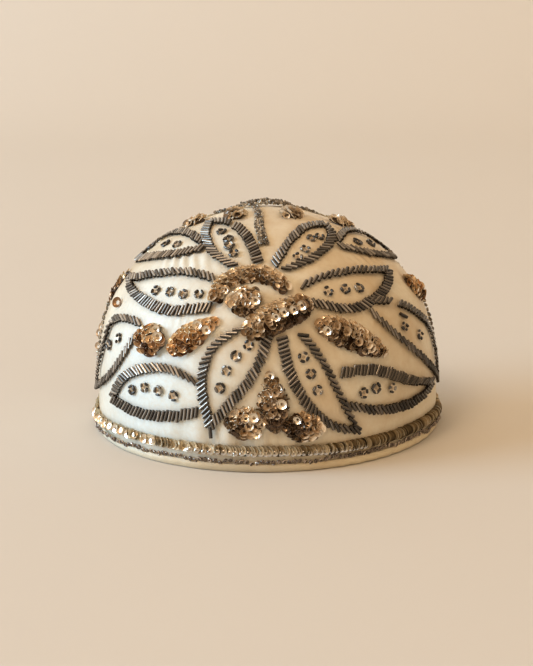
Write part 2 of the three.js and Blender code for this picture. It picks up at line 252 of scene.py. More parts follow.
def add_mesh(name, points, faces, smooth=True, sharp=None):
    """A mesh object from points in millimetres and lists of equal-sided faces."""
    mesh = bpy.data.meshes.new(name)
    sizes = np.concatenate([np.full(len(f), f.shape[1]) for f in faces])
    corners = np.concatenate([f.ravel() for f in faces])
    mesh.vertices.add(len(points))
    mesh.loops.add(len(corners))
    mesh.polygons.add(len(sizes))
    mesh.vertices.foreach_set("co", ((points + SHIFT) * MM).astype(np.float32).ravel())
    mesh.loops.foreach_set("vertex_index", corners.astype(np.int32))
    mesh.polygons.foreach_set("loop_start", (np.cumsum(sizes) - sizes).astype(np.int32))
    mesh.polygons.foreach_set("use_smooth", np.full(len(sizes), smooth))
    mesh.update(calc_edges=True)
    mesh.validate()
    if smooth and sharp:
        mesh.set_sharp_from_angle(angle=radians(sharp))
    return add_object(name, mesh)


def add_piece(name, points, faces, material, slot, node=None, smooth=True, sharp=None, **values):
    """A piece of the hat in place of a CAD node, with values at its points for its material."""
    obj = add_mesh(name, points, faces, smooth, sharp)
    for key, numbers in values.items():
        layer = obj.data.attributes.new(key, "FLOAT", "POINT")
        layer.data.foreach_set("value", np.asarray(numbers, np.float32).ravel())
    obj.data.materials.append(material)
    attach(obj, "root")
    if node:
        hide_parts(node)


def turned(profile, sides):
    """A ring: a closed profile of (radius, height) rows, turned about Z."""
    angle = np.linspace(0, 2 * pi, sides, endpoint=False)[:, None]
    radius, height = np.array(profile, float).T
    points = np.broadcast_arrays(radius * np.cos(angle), radius * np.sin(angle), height)
    return np.stack(points, -1).reshape(-1, 3), grid_faces(sides, len(profile), True, True)


def scatter(template, at, z_axes, x_axes, scale):
    """Copies of a template, one for each place, with its own Z, about its own X, and scale."""
    points, faces = template
    z_axes = unit(z_axes)
    y_axes = unit(np.cross(z_axes, x_axes))
    x_axes = np.cross(y_axes, z_axes)
    local = points[None] * np.reshape(scale, (len(at), 1, -1))
    placed = (at[:, None] + local[..., :1] * x_axes[:, None] + local[..., 1:2] * y_axes[:, None]
              + local[..., 2:] * z_axes[:, None])
    first = (np.arange(len(at)) * len(points))[:, None, None]
    return placed.reshape(-1, 3), (faces[None] + first).reshape(-1, faces.shape[1])


def turned_about(v, axis, degrees):
    """Vectors turned about axes that are at right angles to them."""
    a = np.radians(np.reshape(degrees, (-1, 1)))
    return v * np.cos(a) + np.cross(axis, v) * np.sin(a)


def bead(half_profile, sides):
    """A bead from the lower half of its profile, told from the hole outwards."""
    return turned(half_profile + [(radius, -z) for radius, z in half_profile[::-1]], sides)


# Small templates, with their hole along Z.
RING_BEAD = bead([(0.45, -0.3), (0.75, -0.42), (1.0, -0.18)], 14)
SEED_BEAD = bead([(0.3, -0.42), (0.75, -0.5), (1.0, -0.2)], 12)
BUGLE_HALF, BUGLE_RADIUS = 2.65, 0.87
BUGLE = bead([(0.3, -BUGLE_HALF), (BUGLE_RADIUS, -BUGLE_HALF)], 10)
# Sequins of radius 1: cupped towards +Z, domed towards it, and nearly flat.
CUP = turned([(0.24, -0.05), (0.45, -0.05), (0.72, 0.07), (1.0, 0.29),
              (0.97, 0.32), (0.72, 0.13), (0.45, 0.0), (0.24, 0.0)], 18)
DOME = turned([(0.24, -0.05), (0.45, -0.05), (0.72, -0.17), (0.97, -0.36),
               (1.0, -0.33), (0.72, -0.12), (0.45, 0.0), (0.24, 0.0)], 18)
BAND_CUP = turned([(0.2, -0.05), (0.5, -0.04), (1.0, 0.12),
                   (0.98, 0.16), (0.5, 0.0), (0.2, 0.0)], 14)


# ---- materials ----

class Nodes:
    """The node tree of a material or the world, with short ways to add to it."""

    def __init__(self, owner):
        self.owner = owner
        owner.use_nodes = True
        self.tree = owner.node_tree

    def feed(self, socket, value):
        """Links a socket to another one, or sets it to a value or a colour."""
        if isinstance(value, bpy.types.NodeSocket):
            self.tree.links.new(value, socket)
        else:
            socket.default_value = (*value, 1) if socket.type == "RGBA" else value

    def fill(self, node, settings):
        for key, value in settings.items():
            if hasattr(node, key):
                setattr(node, key, value)
            else:
                self.feed(node.inputs[key.replace("_", " ")], value)
        return node

    def add(self, kind, **settings):
        """A new node, with its own settings and its inputs."""
        return self.fill(self.tree.nodes.new("ShaderNode" + kind), settings)

    def noise(self, scale, detail=2.0, roughness=0.5, stretch=(1, 1, 1)):
        """Noise in object coordinates, which are metres and can be stretched."""
        place = self.add("Mapping", Vector=self.add("TexCoord").outputs["Object"], Scale=stretch)
        return self.add("TexNoise", Vector=place.outputs[0], Scale=scale, Detail=detail,
                        Roughness=roughness).outputs["Fac"]

    def ramp(self, value, stops):
        """A ramp of colours, or of grey levels given as numbers."""
        node = self.add("ValToRGB", Fac=value)
        elements = node.color_ramp.elements
        while len(elements) < len(stops):
            elements.new(0.5)
        for element, (at, colour) in zip(elements, stops):
            element.position = at
            element.color = (*(colour if isinstance(colour, tuple) else [colour] * 3), 1)
        return node.outputs["Color"]

    def mix(self, factor, a, b, blend="MIX"):
        node = self.add("Mix", data_type="RGBA", blend_type=blend)
        for index, value in ((0, factor), (6, a), (7, b)):
            self.feed(node.inputs[index], value)
        return node.outputs[2]

    def times(self, a, b):
        return self.mix(1.0, a, b, "MULTIPLY")

    def bump(self, height, strength, distance, **under):
        """A bump; Normal can name another one under it."""
        return self.add("Bump", Height=height, Strength=strength, Distance=distance,
                        **under).outputs["Normal"]

    def range(self, value, low, high):
        return self.add("MapRange", Value=value, To_Min=low, To_Max=high).outputs["Result"]

    def reading(self, name):
        """The values that add_piece gave the points."""
        return self.add("Attribute", attribute_name=name).outputs["Fac"]

    def island(self):
        """A random value for each bead."""
        return self.add("NewGeometry").outputs["Random Per Island"]

    def shade(self, shader="Principled BSDF", **inputs):
        """Sets the shader's inputs, and gives the material or world."""
        self.fill(self.tree.nodes[shader], inputs)
        return self.owner


def new_material(name):
    return Nodes(bpy.data.materials.new(name))


def satin(name, light, dark, fair, sewn, stain_scale, stain_low, stain_high):
    """Worn satin: stained all over, with painted shade and grime beside the sewn lines and a
    painted cool sheen in places.
    """
    n = new_material(name)
    fine = n.noise(420, 4.0, 0.75)
    colour = n.ramp(n.noise(stain_scale, 4.0, 0.6), [(stain_low, dark), (stain_high, light)])
    colour = n.mix(n.reading("fair"), colour, fair)
    colour = n.mix(n.ramp(fine, [(0.4, 0.0), (0.7, 0.3)]), colour, dark)
    colour = n.mix(n.reading("sewn"), colour, sewn)
    weave = n.bump(n.noise(2600, 1.0, stretch=(1, 1, 0.35)), 0.25, 0.00012)
    creases = n.bump(n.noise(150, 3.0, 0.55, stretch=(1, 1, 0.3)), 0.35, 0.0012, Normal=weave)
    return n.shade(Base_Color=colour, Roughness=n.range(fine, 0.38, 0.52), Normal=creases,
                   Sheen_Weight=0.2, Sheen_Roughness=0.4, Specular_IOR_Level=0.45)


def glass_surface(n, roughness):
    """The uneven roughness and fine bump that all the beads have."""
    return dict(Roughness=n.range(n.noise(900, 2.0, 0.6), *roughness),
                Normal=n.bump(n.noise(1400, 1.0), 0.15, 0.0001))


def metal_beads(name, stops, metallic, roughness, coat=0.5):
    """Glass beads with a metal finish, each with its own shade."""
    n = new_material(name)
    return n.shade(Base_Color=n.ramp(n.island(), stops), Metallic=metallic, Coat_Weight=coat,
                   Coat_Roughness=0.12, **glass_surface(n, roughness))


def streaked_glass(name, dark, light, shade, streak):
    """Dark metal-lined glass tubes, with a painted highlight along the side that faces the light
    and painted shade on the side away from it.
    """
    n = new_material(name)
    facing = n.reading("streak")
    colour = n.ramp(n.island(), [(0.0, dark), (1.0, light)])
    colour = n.mix(n.ramp(facing, [(0.0, 0.85), (0.45, 0.0)]), colour, shade)
    amount = n.ramp(facing, [(0.72, 0.0), (0.99, 1.0)])
    colour = n.mix(n.times(amount, n.range(n.island(), 0.12, 0.9)), colour, streak)
    return n.shade(Base_Color=colour, Metallic=0.5, Coat_Weight=0.25, Coat_Roughness=0.1,
                   Specular_IOR_Level=0.35, **glass_surface(n, (0.12, 0.3)))


def foil(name, dark, middle, light, edge, metallic, roughness):
    """Thin foiled sequins, each with its own tone, which on the mounds and the band is partly
    painted light.

    They are dark round the hole, with painted shade along one side of the rim. The lighter ones
    have a painted highlight, a bright crescent, along its other side.
    """
    n = new_material(name)
    tone, rim, glint = n.reading("tone"), n.reading("rim"), n.reading("glint")
    rub = n.noise(700, 3.0, 0.65)
    colour = n.ramp(tone, [(0.0, dark), (0.12, dark), (0.5, middle), (1.0, light)])
    colour = n.mix(n.range(rub, 0.0, 0.2), colour, dark)
    colour = n.mix(n.ramp(rim, [(0.25, 0.8), (0.42, 0.0)]), colour, dark)
    near_rim = n.ramp(rim, [(0.5, 0.0), (0.78, 1.0)])
    # Painted shade along the side of the rim away from the painted highlight.
    colour = n.mix(n.times(near_rim, n.ramp(glint, [(0.1, 0.28), (0.4, 0.0)])), colour, dark)
    # Painted highlight: a bright crescent along the rim's other side, on the lighter sequins.
    crescent = n.times(near_rim, n.ramp(glint, [(0.55, 0.0), (0.85, 1.0)]))
    crescent = n.times(crescent, n.ramp(tone, [(0.25, 0.0), (0.8, 1.0)]))
    return n.shade(Base_Color=n.mix(crescent, colour, edge), Metallic=metallic,
                   Roughness=n.range(rub, *roughness),
                   Normal=n.bump(n.noise(300, 1.0), 0.1, 0.0003),
                   Coat_Weight=0.5, Coat_Roughness=0.08)


# Each satin's third colour is its painted sheen. Its fourth is the painted shade beside the sewn
# lines, which on the crown also stands for grime and on the binding is shade alone.
SATIN = satin("ivory_satin", (0.74, 0.70, 0.57), (0.57, 0.46, 0.30), (0.68, 0.81, 0.87),
              (0.45, 0.33, 0.20), 38, 0.32, 0.62)
BINDING_SATIN = satin("binding_satin", (0.70, 0.63, 0.46), (0.54, 0.43, 0.27),
                      (0.58, 0.63, 0.58), (0.30, 0.26, 0.19), 30, 0.25, 0.5)
BUGLE_GLASS = streaked_glass("bugle_glass", (0.030, 0.026, 0.022), (0.135, 0.114, 0.094),
                             (0.006, 0.005, 0.004), (0.62, 0.585, 0.53))
RING_GLASS = metal_beads(
    "ring_bead_glass", [(0.0, (0.05, 0.034, 0.03)), (0.7, (0.19, 0.15, 0.125)),
                        (1.0, (0.62, 0.53, 0.45))], 0.4, (0.12, 0.3))
SEED_GLASS = metal_beads(
    "seed_bead_glass", [(0.0, (0.04, 0.034, 0.026)), (0.6, (0.19, 0.165, 0.13)),
                        (1.0, (0.55, 0.5, 0.41))], 0.45, (0.1, 0.3))
ROSETTE_GLASS = metal_beads(
    "rosette_glass", [(0.0, (0.008, 0.008, 0.009)), (0.72, (0.045, 0.045, 0.047)),
                      (1.0, (0.36, 0.35, 0.33))], 0.5, (0.08, 0.2))
# Painted shade: a near-black core for the shade inside the mounds between the sequins.
MOUND_SHADE_CORE = metal_beads("mound_core_painted_shade", [(0.0, (0.04, 0.026, 0.015)), (1.0, (0.08, 0.05, 0.03))],
                         0.2, (0.4, 0.6), 0.2)
ROSETTE_CENTRE = foil("rosette_centre", (0.35, 0.26, 0.17), (0.66, 0.55, 0.40),
                      (0.85, 0.76, 0.6), (0.95, 0.88, 0.74), 0.2, (0.15, 0.35))
COPPER = foil("copper_sequins", (0.10, 0.045, 0.018), (0.72, 0.41, 0.17), (0.95, 0.79, 0.53),
              (1.0, 0.93, 0.80), 0.55, (0.12, 0.26))
BRONZE = foil("bronze_sequins", (0.075, 0.042, 0.02), (0.52, 0.35, 0.19), (0.90, 0.75, 0.54),
              (1.0, 0.96, 0.88), 0.5, (0.12, 0.26))
OLD_GOLD = foil("old_gold_sequins", (0.09, 0.065, 0.03), (0.50, 0.37, 0.20),
                (0.90, 0.82, 0.62), (0.95, 0.88, 0.70), 0.5, (0.1, 0.25))
TAN = foil("tan_sequins", (0.14, 0.09, 0.05), (0.64, 0.50, 0.34), (0.93, 0.82, 0.65),
           (1.0, 0.97, 0.90), 0.25, (0.15, 0.3))
# Painted highlight: a paler, more metallic copy of the sequin foil for the sequins turned to mirror
# the light, which also reflect it for real.
PAINTED_GLINT_FOIL = foil("painted_glint_sequins", (0.20, 0.13, 0.07), (0.80, 0.68, 0.50), (0.95, 0.90, 0.80),
                (1.0, 0.98, 0.94), 0.9, (0.08, 0.16))
SILVER = foil("silver_sequins", (0.16, 0.15, 0.13), (0.42, 0.41, 0.39), (0.62, 0.61, 0.60),
              (0.80, 0.80, 0.80), 0.85, (0.12, 0.25))
LOOKS = dict(copper=COPPER, bronze=BRONZE, tan=TAN)


# ---- leaves ----

# one and other are a leaf's two sides from its foot towards its tip. sweeps says for
# each side how many degrees its beads lean towards the tip, at even steps from the
# foot to the tip. rosettes are the places of the bead rosettes inside the leaf, gaps
# are shares of a side's length where beads have come off, and loose are places of single
# beads with the direction each lies in, in degrees from level.
LEAVES = [
    dict(name="top_left", one=[(-16, 100), (-31, 108), (-52, 120)], tip=(-73, 129),
         other=[(-4, 103), (-8, 113), (-19, 125), (-45, 132)],
         sweeps=((40, 40, 36), (12, 34, 45)), gaps=[("other", 0.66, 0.70)],
         rosettes=[(-40, 124), (-28, 119), (-24, 114), (-19, 109)]),
    dict(name="top_right", one=[(4, 101), (10, 110), (21, 120), (39, 127)], tip=(66, 125),
         other=[(9, 98), (25, 104), (44, 112), (58, 119)],
         sweeps=((40, 45, 46, 37, 30), (48, 47, 46)),
         rosettes=[(43, 118), (35, 118), (25, 111), (18, 106)]),
    dict(name="middle_left", one=[(-21, 77), (-38, 73), (-56, 75), (-69, 78)],
         tip=(-78, 80.5), other=[(-23, 92), (-38, 94), (-54, 90), (-68, 84)],
         sweeps=((17, 17, 12, 42, 58), (43, 44, 40)),
         rosettes=[(-50, 81), (-42, 82), (-35, 82), (-28, 83)]),
    dict(name="middle_right", one=[(15, 88), (25, 92), (42, 93), (56, 90)], tip=(67, 87),
         other=[(18, 79), (32, 74), (45, 76), (60, 82)],
         sweeps=((60, 58, 53, 51, 52), (36, 36, 36)),
         rosettes=[(26, 84), (34, 84), (41, 83)]),
    dict(name="front_left", one=[(-9, 68), (-18, 58), (-21, 45), (-20, 32)], tip=(-18, 22),
         other=[(1, 65), (-2, 54), (-6, 43), (-13, 31)],
         sweeps=((59, 47, 34, 29, 26), (12, 36, 26, 28, 34)), loose=[(-18, 18.5, 85)],
         rosettes=[(-6, 60), (-10, 55), (-13, 48), (-15, 40)]),
    dict(name="front_right", one=[(5, 64), (7.2, 47.5), (12.6, 32), (20, 21.5)],
         tip=(30, 16.5), other=[(12, 65), (18, 52), (23, 36), (27.3, 22.5)],
         sweeps=((3, 15, 28, 50, 50), (40, 51, 54, 57, 70)),
         rosettes=[(12, 54), (14, 46), (16, 38)]),
    dict(name="rim_left", one=[(-22, 28), (-32, 24), (-46, 22)], tip=(-61, 24),
         other=[(-23, 42), (-33, 46), (-43, 44), (-54, 36)],
         sweeps=((20, 26, 33, 32, 30), (62, 46, 32, 34, 36)),
         rosettes=[(-49, 32), (-43, 35), (-37, 35), (-31, 34)]),
    dict(name="rim_right", one=[(24, 45), (36, 44), (48, 37), (59, 31)], tip=(72, 26),
         other=[(25, 30), (36, 25), (46, 23), (59, 23)],
         sweeps=((20, 8, 20, 52, 64), (55, 43, 32, 40, 48)),
         rosettes=[(32, 34), (37, 35), (44, 33)]),
    dict(name="side_left", one=[(-51, 57), (-57, 44), (-65, 33), (-76, 25)], tip=(-86, 20),
         other=[(-50, 64), (-62, 63), (-71, 57), (-73, 46), (-80, 31)],
         sweeps=((48, 56, 60, 60), (56, 54, 48)), rosettes=[(-60.8, 53.4), (-67.5, 48)]),
    dict(name="side_right", one=[(43, 76), (60, 69), (69, 61), (78, 50)], tip=(87, 21),
         other=[(41, 71), (49, 58), (60, 45), (74, 31)],
         sweeps=((52, 45, 50), (60, 60, 57, 54)), rosettes=[(56, 59), (65, 52)],
         gaps=[("one", 0.17, 0.24)], loose=[(57.5, 64, 34)]),
    dict(name="crown_left", one=[(-40, 110), (-56, 103), (-72, 96.5), (-88, 90)],
         tip=(-104, 86), other=[(-46, 114), (-66, 116.5), (-84, 114), (-99, 106), (-105, 96)],
         sweeps=((30, 12, 25), (42, 44, 40)), rosettes=[(-97, 96), (-78, 105), (-65, 108)]),
    dict(name="crown_right", one=[(54, 113), (72, 115.5), (86, 113), (99, 105)],
         tip=(104, 85), other=[(49, 109), (63, 101), (75, 95), (89, 89)],
         sweeps=((52, 58, 56), (38, 46, 54, 58)), rosettes=[(69, 107), (81, 102)]),
]
# The spacing across the beads themselves, where they lean by these degrees.
SPACED_LEAN, BUGLE_SPACING = [38, 60], [1.9, 1.64]
# Unevenness of the bugles: lean in degrees, shift along themselves and height in
# millimetres, and slope off the satin.
UNEVEN = dict(lean=3.5, shift=0.2, height=0.12, slope=0.035)
# Painted light on the bugles: the side facing source is painted paler and the side away from it
# darker. fade is per millimetre towards the right.
BUGLE_PAINTED_LIGHT = dict(source=(-0.36, -0.42, 0.8), least=0.3, power=0.9, fade=0.0009)
ROSETTE = dict(beads=4, radius=1.92, lift=0.9, thick=0.72, sequin_lift=0.55)


def leaf_side(places, tip, sweep, middle, rng, gaps):
    """Bugle beads laid across one side of a leaf: their places, directions and normals."""
    def lean_at(share):
        return np.interp(share, np.linspace(0, 1, len(sweep)), sweep)

    fine = even(smooth_line([*places, tip]), 400)
    share = np.linspace(0, 1, len(fine))
    lean = lean_at(share)
    pitch = np.interp(lean, SPACED_LEAN, BUGLE_SPACING) / np.cos(np.radians(lean))
    turns = np.concatenate([[0], np.cumsum(length_of(fine) / (len(fine) - 1) / pitch[1:])])
    count = round(turns[-1])
    share = np.interp((np.arange(count) + 0.5) / count * turns[-1], turns, share)
    for start, stop in gaps:
        share = share[(share < start) | (share > stop)]
    count = len(share)
    points = at_share(fine, share)
    towards_tip = along(points)
    across = unit(np.cross(outward(points), towards_tip))
    across *= np.sign(((points - middle) * across).sum(1, keepdims=True))
    lean = np.radians(lean_at(share) + rng.normal(0, UNEVEN["lean"], count))[:, None]
    bead_axis = across * np.cos(lean) + towards_tip * np.sin(lean)
    points = lay_on(points + bead_axis * rng.normal(0, UNEVEN["shift"], (count, 1)))
    normal = outward(points)
    bead_axis = unit(bead_axis - normal * (bead_axis * normal).sum(1, keepdims=True)
                     + normal * rng.normal(0, UNEVEN["slope"], (count, 1)))
    height = BUGLE_RADIUS + 0.12 + np.abs(rng.normal(0, UNEVEN["height"], (count, 1)))
    return points + normal * height, bead_axis, normal


def bugle_leaf(row, seed):
    """A leaf's outline of bugles, each with a value for its painted light, by how its points face
    the light.
    """
    rng = np.random.default_rng(seed)
    places = [*row["one"], row["tip"], *row["other"]]
    middle = surface(*np.array(places, float).T).mean(0)
    parts = []
    for side, sweep in zip(("one", "other"), row["sweeps"]):
        gaps = [(start, stop) for at_side, start, stop in row.get("gaps", []) if at_side == side]
        parts.append(leaf_side(row[side], row["tip"], sweep, middle, rng, gaps))
    for az, up, slant in row.get("loose", []):
        seat = surface(np.array([az]), np.array([up]))
        normal = outward(seat)
        level = unit(np.cross([0.0, 0.0, 1.0], normal))
        parts.append((seat + normal * 0.9, turned_about(level, normal, -slant), normal))
    at, axis, normal = (np.concatenate(v) for v in zip(*parts))
    scale = np.ones((len(at), 3))
    scale[:, 2] = rng.uniform(0.93, 1.04, len(at))
    spin = turned_about(normal, axis, rng.uniform(0, 360, len(at)))
    points, faces = scatter(BUGLE, at, axis, spin, scale)
    spoke = points.reshape(len(at), -1, 3) - at[:, None]
    spoke = unit(spoke - (spoke * axis[:, None]).sum(-1, keepdims=True) * axis[:, None])
    source = unit(np.array(BUGLE_PAINTED_LIGHT["source"]))
    facing = np.linalg.norm(source - axis * (axis @ source)[:, None], axis=-1, keepdims=True)
    lit = spoke @ source / np.maximum(facing, BUGLE_PAINTED_LIGHT["least"]) ** BUGLE_PAINTED_LIGHT["power"]
    add_piece("bugles_" + row["name"], points, [faces], BUGLE_GLASS, "bugle_beads",
              "leaf_" + row["name"], sharp=50, streak=lit - BUGLE_PAINTED_LIGHT["fade"] * at[:, :1])


def rosettes(row, seed):
    """Rings of four short dark beads, each round a translucent sequin."""
    rng = np.random.default_rng(seed)
    centres = surface(*np.array(row["rosettes"], float).T)
    normal = outward(centres)
    level = unit(np.cross(normal, [0.0, 0.0, 1.0]))
    count, thick = ROSETTE["beads"], ROSETTE["thick"]
    rings = []
    for centre, n, x in zip(centres, normal, level):
        start = rng.uniform(0, 2 * pi)
        angle = start + np.arange(count) / count * 2 * pi + rng.normal(0, 0.14, count)
        spoke = np.cos(angle)[:, None] * x + np.sin(angle)[:, None] * np.cross(n, x)
        radius = rng.normal(ROSETTE["radius"], 0.1, (count, 1))
        tangent = np.cross(n, spoke) + n * rng.normal(0, 0.3, (count, 1))
        scale = rng.uniform(0.9, 1.1, (count, 1)) * [thick, thick, rng.uniform(1.7, 3.0)]
        at = centre + spoke * radius + n * ROSETTE["lift"]
        rings.append((at, tangent, spoke, scale))
    points, faces = scatter(SEED_BEAD, *(np.concatenate(v) for v in zip(*rings)))
    add_piece("rosettes_" + row["name"], points, [faces], ROSETTE_GLASS, "seed_beads", sharp=35)
    tilt = normal + rng.normal(0, 0.12, normal.shape)
    sequins("rosette_centres_" + row["name"], centres + normal * ROSETTE["sequin_lift"], tilt,
            level, rng.uniform(2.1, 2.4, len(centres)), rng.uniform(0.3, 0.7, len(centres)),
            ROSETTE_CENTRE, template=BAND_CUP)


# ---- mounds of sequins ----

# path is the mound's spine, half its half width and rise its height; lean moves its widest
# part along it, and blunt rounds its ends. lay is how the sequins lie, in rows across the
# spine or in a whorl, look is their material and fine their scale. light is the side where
# the sequins are painted paler as painted light, as (right, up), pale how many of them there
# are, depth how much darker the others are painted as painted shade, and by_face how far
# this goes by the way a sequin faces. bright are sequins turned to mirror the light, in the
# painted glint foil: each one's share of the spine's length and angle across the mound.
PLAIN_MOUND = dict(lean=1, blunt=0.5, lay="rows", look="bronze", light=(0.0, 1.0), pale=0.9,
                   depth=0.6, by_face=0.5, fine=1, bright=[])
MOUNDS = [PLAIN_MOUND | row for row in (
    dict(name="arch", path=[(-20.5, 80), (-18.5, 89), (-9, 95.5), (3, 93.5), (8.5, 86.5)],
         half=3.8, rise=4.6, blunt=0.2, light=(0.2, 1.0), pale=0.86, depth=1.1, by_face=0.9,
         bright=[(0.16, 150)]),
    dict(name="bloom", path=[(-14.2, 79.5), (-2.8, 81.5)], half=7.2, rise=5.5, lay="whorl",
         light=(-0.7, 0.7), pale=0.7, bright=[(0.93, 75), (0.9, 35), (0.88, 110)]),
    dict(name="bar", path=[(-7, 66), (16.8, 79)], half=7, rise=6, blunt=0.3,
         light=(-0.6, 0.8), pale=0.62, depth=1.0,
         bright=[(0.44, 99), (0.56, 97), (0.7, 103), (0.82, 101)]),
    dict(name="berry_left", path=[(-49, 57), (-36.5, 58)], half=7.6, rise=5, blunt=0.45,
         lay="whorl", look="copper", light=(-0.3, 0.8), pale=0.45,
         bright=[(0.88, 67), (0.75, 45)]),
    dict(name="bud_left", path=[(-33, 55), (-18, 71)], half=5.6, rise=4.5, lean=0.7, blunt=0.7,
         look="copper", light=(-0.2, 0.8), pale=0.62, bright=[(0.78, 130), (0.69, 71)]),
    dict(name="bud_right", path=[(18, 69), (43, 50)], half=6.5, rise=4.5, lean=0.8, blunt=0.7,
         light=(0.5, 0.8), pale=0.64, depth=0.8, bright=[(0.13, 120)]),
    dict(name="front_top", path=[(1, 47), (2.5, 20)], half=6.8, rise=5, lean=1.2, blunt=0.9,
         light=(-0.6, 0.6), pale=0.42, bright=[(0.5, 59), (0.24, 45)]),
    dict(name="front_left", path=[(-12.6, 24), (-1.6, 24)], half=7.5, rise=4.5, lay="whorl",
         light=(0.3, 0.7), pale=0.48, bright=[(0.78, 57), (0.85, 140)]),
    dict(name="front_right", path=[(5, 22.5), (17, 20.5)], half=7, rise=4.5, lay="whorl",
         light=(1.0, 0.2), pale=0.25, bright=[(0.3, 51)]),
    dict(name="top_left", path=[(-40, 139), (-82, 140)], half=5, rise=3.2, blunt=0.8,
         look="tan"),
    dict(name="top_right", path=[(30, 141), (76, 139)], half=5, rise=3.2, blunt=0.8,
         look="tan"),
    dict(name="shoulder_left", path=[(-93, 127), (-101, 115)], half=4.5, rise=2.8, blunt=0.7,
         look="tan"),
    dict(name="shoulder_right", path=[(92, 125), (101, 111)], half=4.8, rise=2.8, blunt=0.7,
         look="tan"),
    dict(name="side_right", path=[(76, 78), (88, 64)], half=4.8, rise=3.6, look="copper",
         light=(-0.5, 0.8), pale=0.68),
    dict(name="side_left", path=[(-87, 82), (-90, 63)], half=3.2, rise=2, blunt=0.6,
         look="copper", pale=0.75, fine=0.7),
)]
ROW_PITCH, AROUND_PITCH = 2.45, 2.6
# The angle across a mound of its first sequin, the angle they cover, and their lean along
# it with its spread, in degrees.
ROW_START, ROW_COVERS, ROW_LEAN = 8, 164, (20, 10)
# The rings of a whorl: how far out, how many sequins, and their lean in degrees.
WHORL = [(0.0, 1, 0), (0.33, 5, 32), (0.62, 9, 34), (0.85, 12, 34), (1.0, 14, 20)]
# Sequins sit a little inside the mound's full form, and its core, painted dark as shade, well
# inside it.
SEQUIN_SWELL, CORE_SWELL = 0.9, 0.74
SEQUIN_RADIUS = (2.1, 2.4)
FACE_SPREAD, TONE_SPREAD = 0.14, 0.26
# The side of each sequin's rim that gets the painted highlight; the opposite side gets painted
# shade.
GLINT_SIDE = (0.7, 0.2, -0.65)
# Which way a sequin faces where its right side, or all of it, mirrors the light, and which
# way the silver domes on the band do.
BRIGHT_FACE, MIRROR_FACE = (-0.24, -0.96, 0.12), (-0.6, -0.7, 0.385)
DOME_FACE = (-0.12, -0.87, 0.48)


def mound_width(row, share):
    """How wide the mound is at shares of its length, as a part of its full width."""
    return np.sin(pi * np.clip(share, 0.03, 0.97) ** row["lean"]) ** row["blunt"]


def on_mound(row, share, angle, swell=1.0):
    """Points on a mound, the way they face, and its direction there.

    share runs along its length, and angle goes across it from 0 at one foot to 180.
    """
    fine = even(smooth_line(row["path"]), 200)
    inside = np.clip(share, 0, 1)
    spine, heading = at_share(fine, inside), unit(at_share(along(fine), inside))
    side = unit(np.cross(outward(spine), heading))
    width = mound_width(row, share)[:, None]
    a = np.radians(angle)[:, None]
    seat = lay_on(spine + side * (row["half"] * width * np.cos(a) * swell))
    up = outward(seat)
    point = seat + up * (row["rise"] * np.sqrt(width) * np.sin(a) * swell)
    # Near its ends the mound also faces along its spine.
    off = share - 0.5
    end = np.clip((np.abs(off) - 0.3) / 0.2, 0, 1)[:, None] * np.sign(off)[:, None]
    face = side * np.cos(a) / row["half"] + up * (np.sin(a) + 0.15) / row["rise"] \
        + heading * end * 0.12
    return point, unit(face), heading


def row_places(row, rng):
    """Sequins in rows across the mound, each overlapping the next row."""
    rows = max(3, round(length_of(smooth_line(row["path"])) / ROW_PITCH))
    shares, angles = [], []
    for i in range(rows):
        share = (i + 0.5) / rows
        width = float(mound_width(row, np.array(share)))
        arc = pi * (row["half"] * width + row["rise"] * sqrt(width)) / 2
        count = max(1, round(arc / AROUND_PITCH))
        shares.extend([share] * count)
        offset = 0.35 if i % 2 else 0.65
        angles.extend(ROW_START + ROW_COVERS * ((np.arange(count) + offset) / count))
    share = np.clip(np.array(shares) + rng.normal(0, 0.18 / rows, len(shares)), 0, 1)
    angle = np.array(angles) + rng.normal(0, 4, len(angles))
    point, face, heading = on_mound(row, share, angle, SEQUIN_SWELL)
    tilt = np.tan(np.radians(rng.normal(*ROW_LEAN, len(share))))[:, None]
    face = face + heading * tilt + rng.normal(0, FACE_SPREAD, point.shape)
    return point, unit(face), heading


def whorl_places(row, rng):
    """Sequins in rings round the mound's middle, like the petals of a rose."""
    parts = []
    centre = on_mound(row, np.array([0.5]), np.array([90.0]), swell=0.3)[0]
    for share_out, count, lean in WHORL:
        turn = (np.arange(count) + rng.uniform(0, 1)) / count * 2 * pi
        turn += rng.normal(0, 0.08, count)
        share = 0.5 + 0.46 * share_out * np.cos(turn)
        width = mound_width(row, share) / mound_width(row, np.array(0.5))
        angle = 90 + 82 * share_out * np.sin(turn) * np.clip(width, 0.5, 1)
        point, face, heading = on_mound(row, share, angle, SEQUIN_SWELL)
        spoke = unit(point - centre)
        lean = tan(radians(lean))
        face = unit(face + spoke * lean * 0.5 + np.cross(face, spoke) * lean * 0.7
                    + rng.normal(0, FACE_SPREAD, point.shape))
        parts.append((point, face, heading))
    return tuple(np.concatenate(v) for v in zip(*parts))


def light_side(row, point, face):
    """How far each sequin is turned to its mound's light side, from -1 to 1."""
    middle = outward(even(smooth_line(row["path"]), 3)[1])
    across = unit(np.cross([0, 0, 1], middle))
    upwards = np.cross(middle, across)
    toward = unit(across * row["light"][0] + upwards * row["light"][1])
    by_face = row["by_face"]
    return unit(point - point.mean(0)) @ toward * (1 - by_face) + face @ toward * by_face


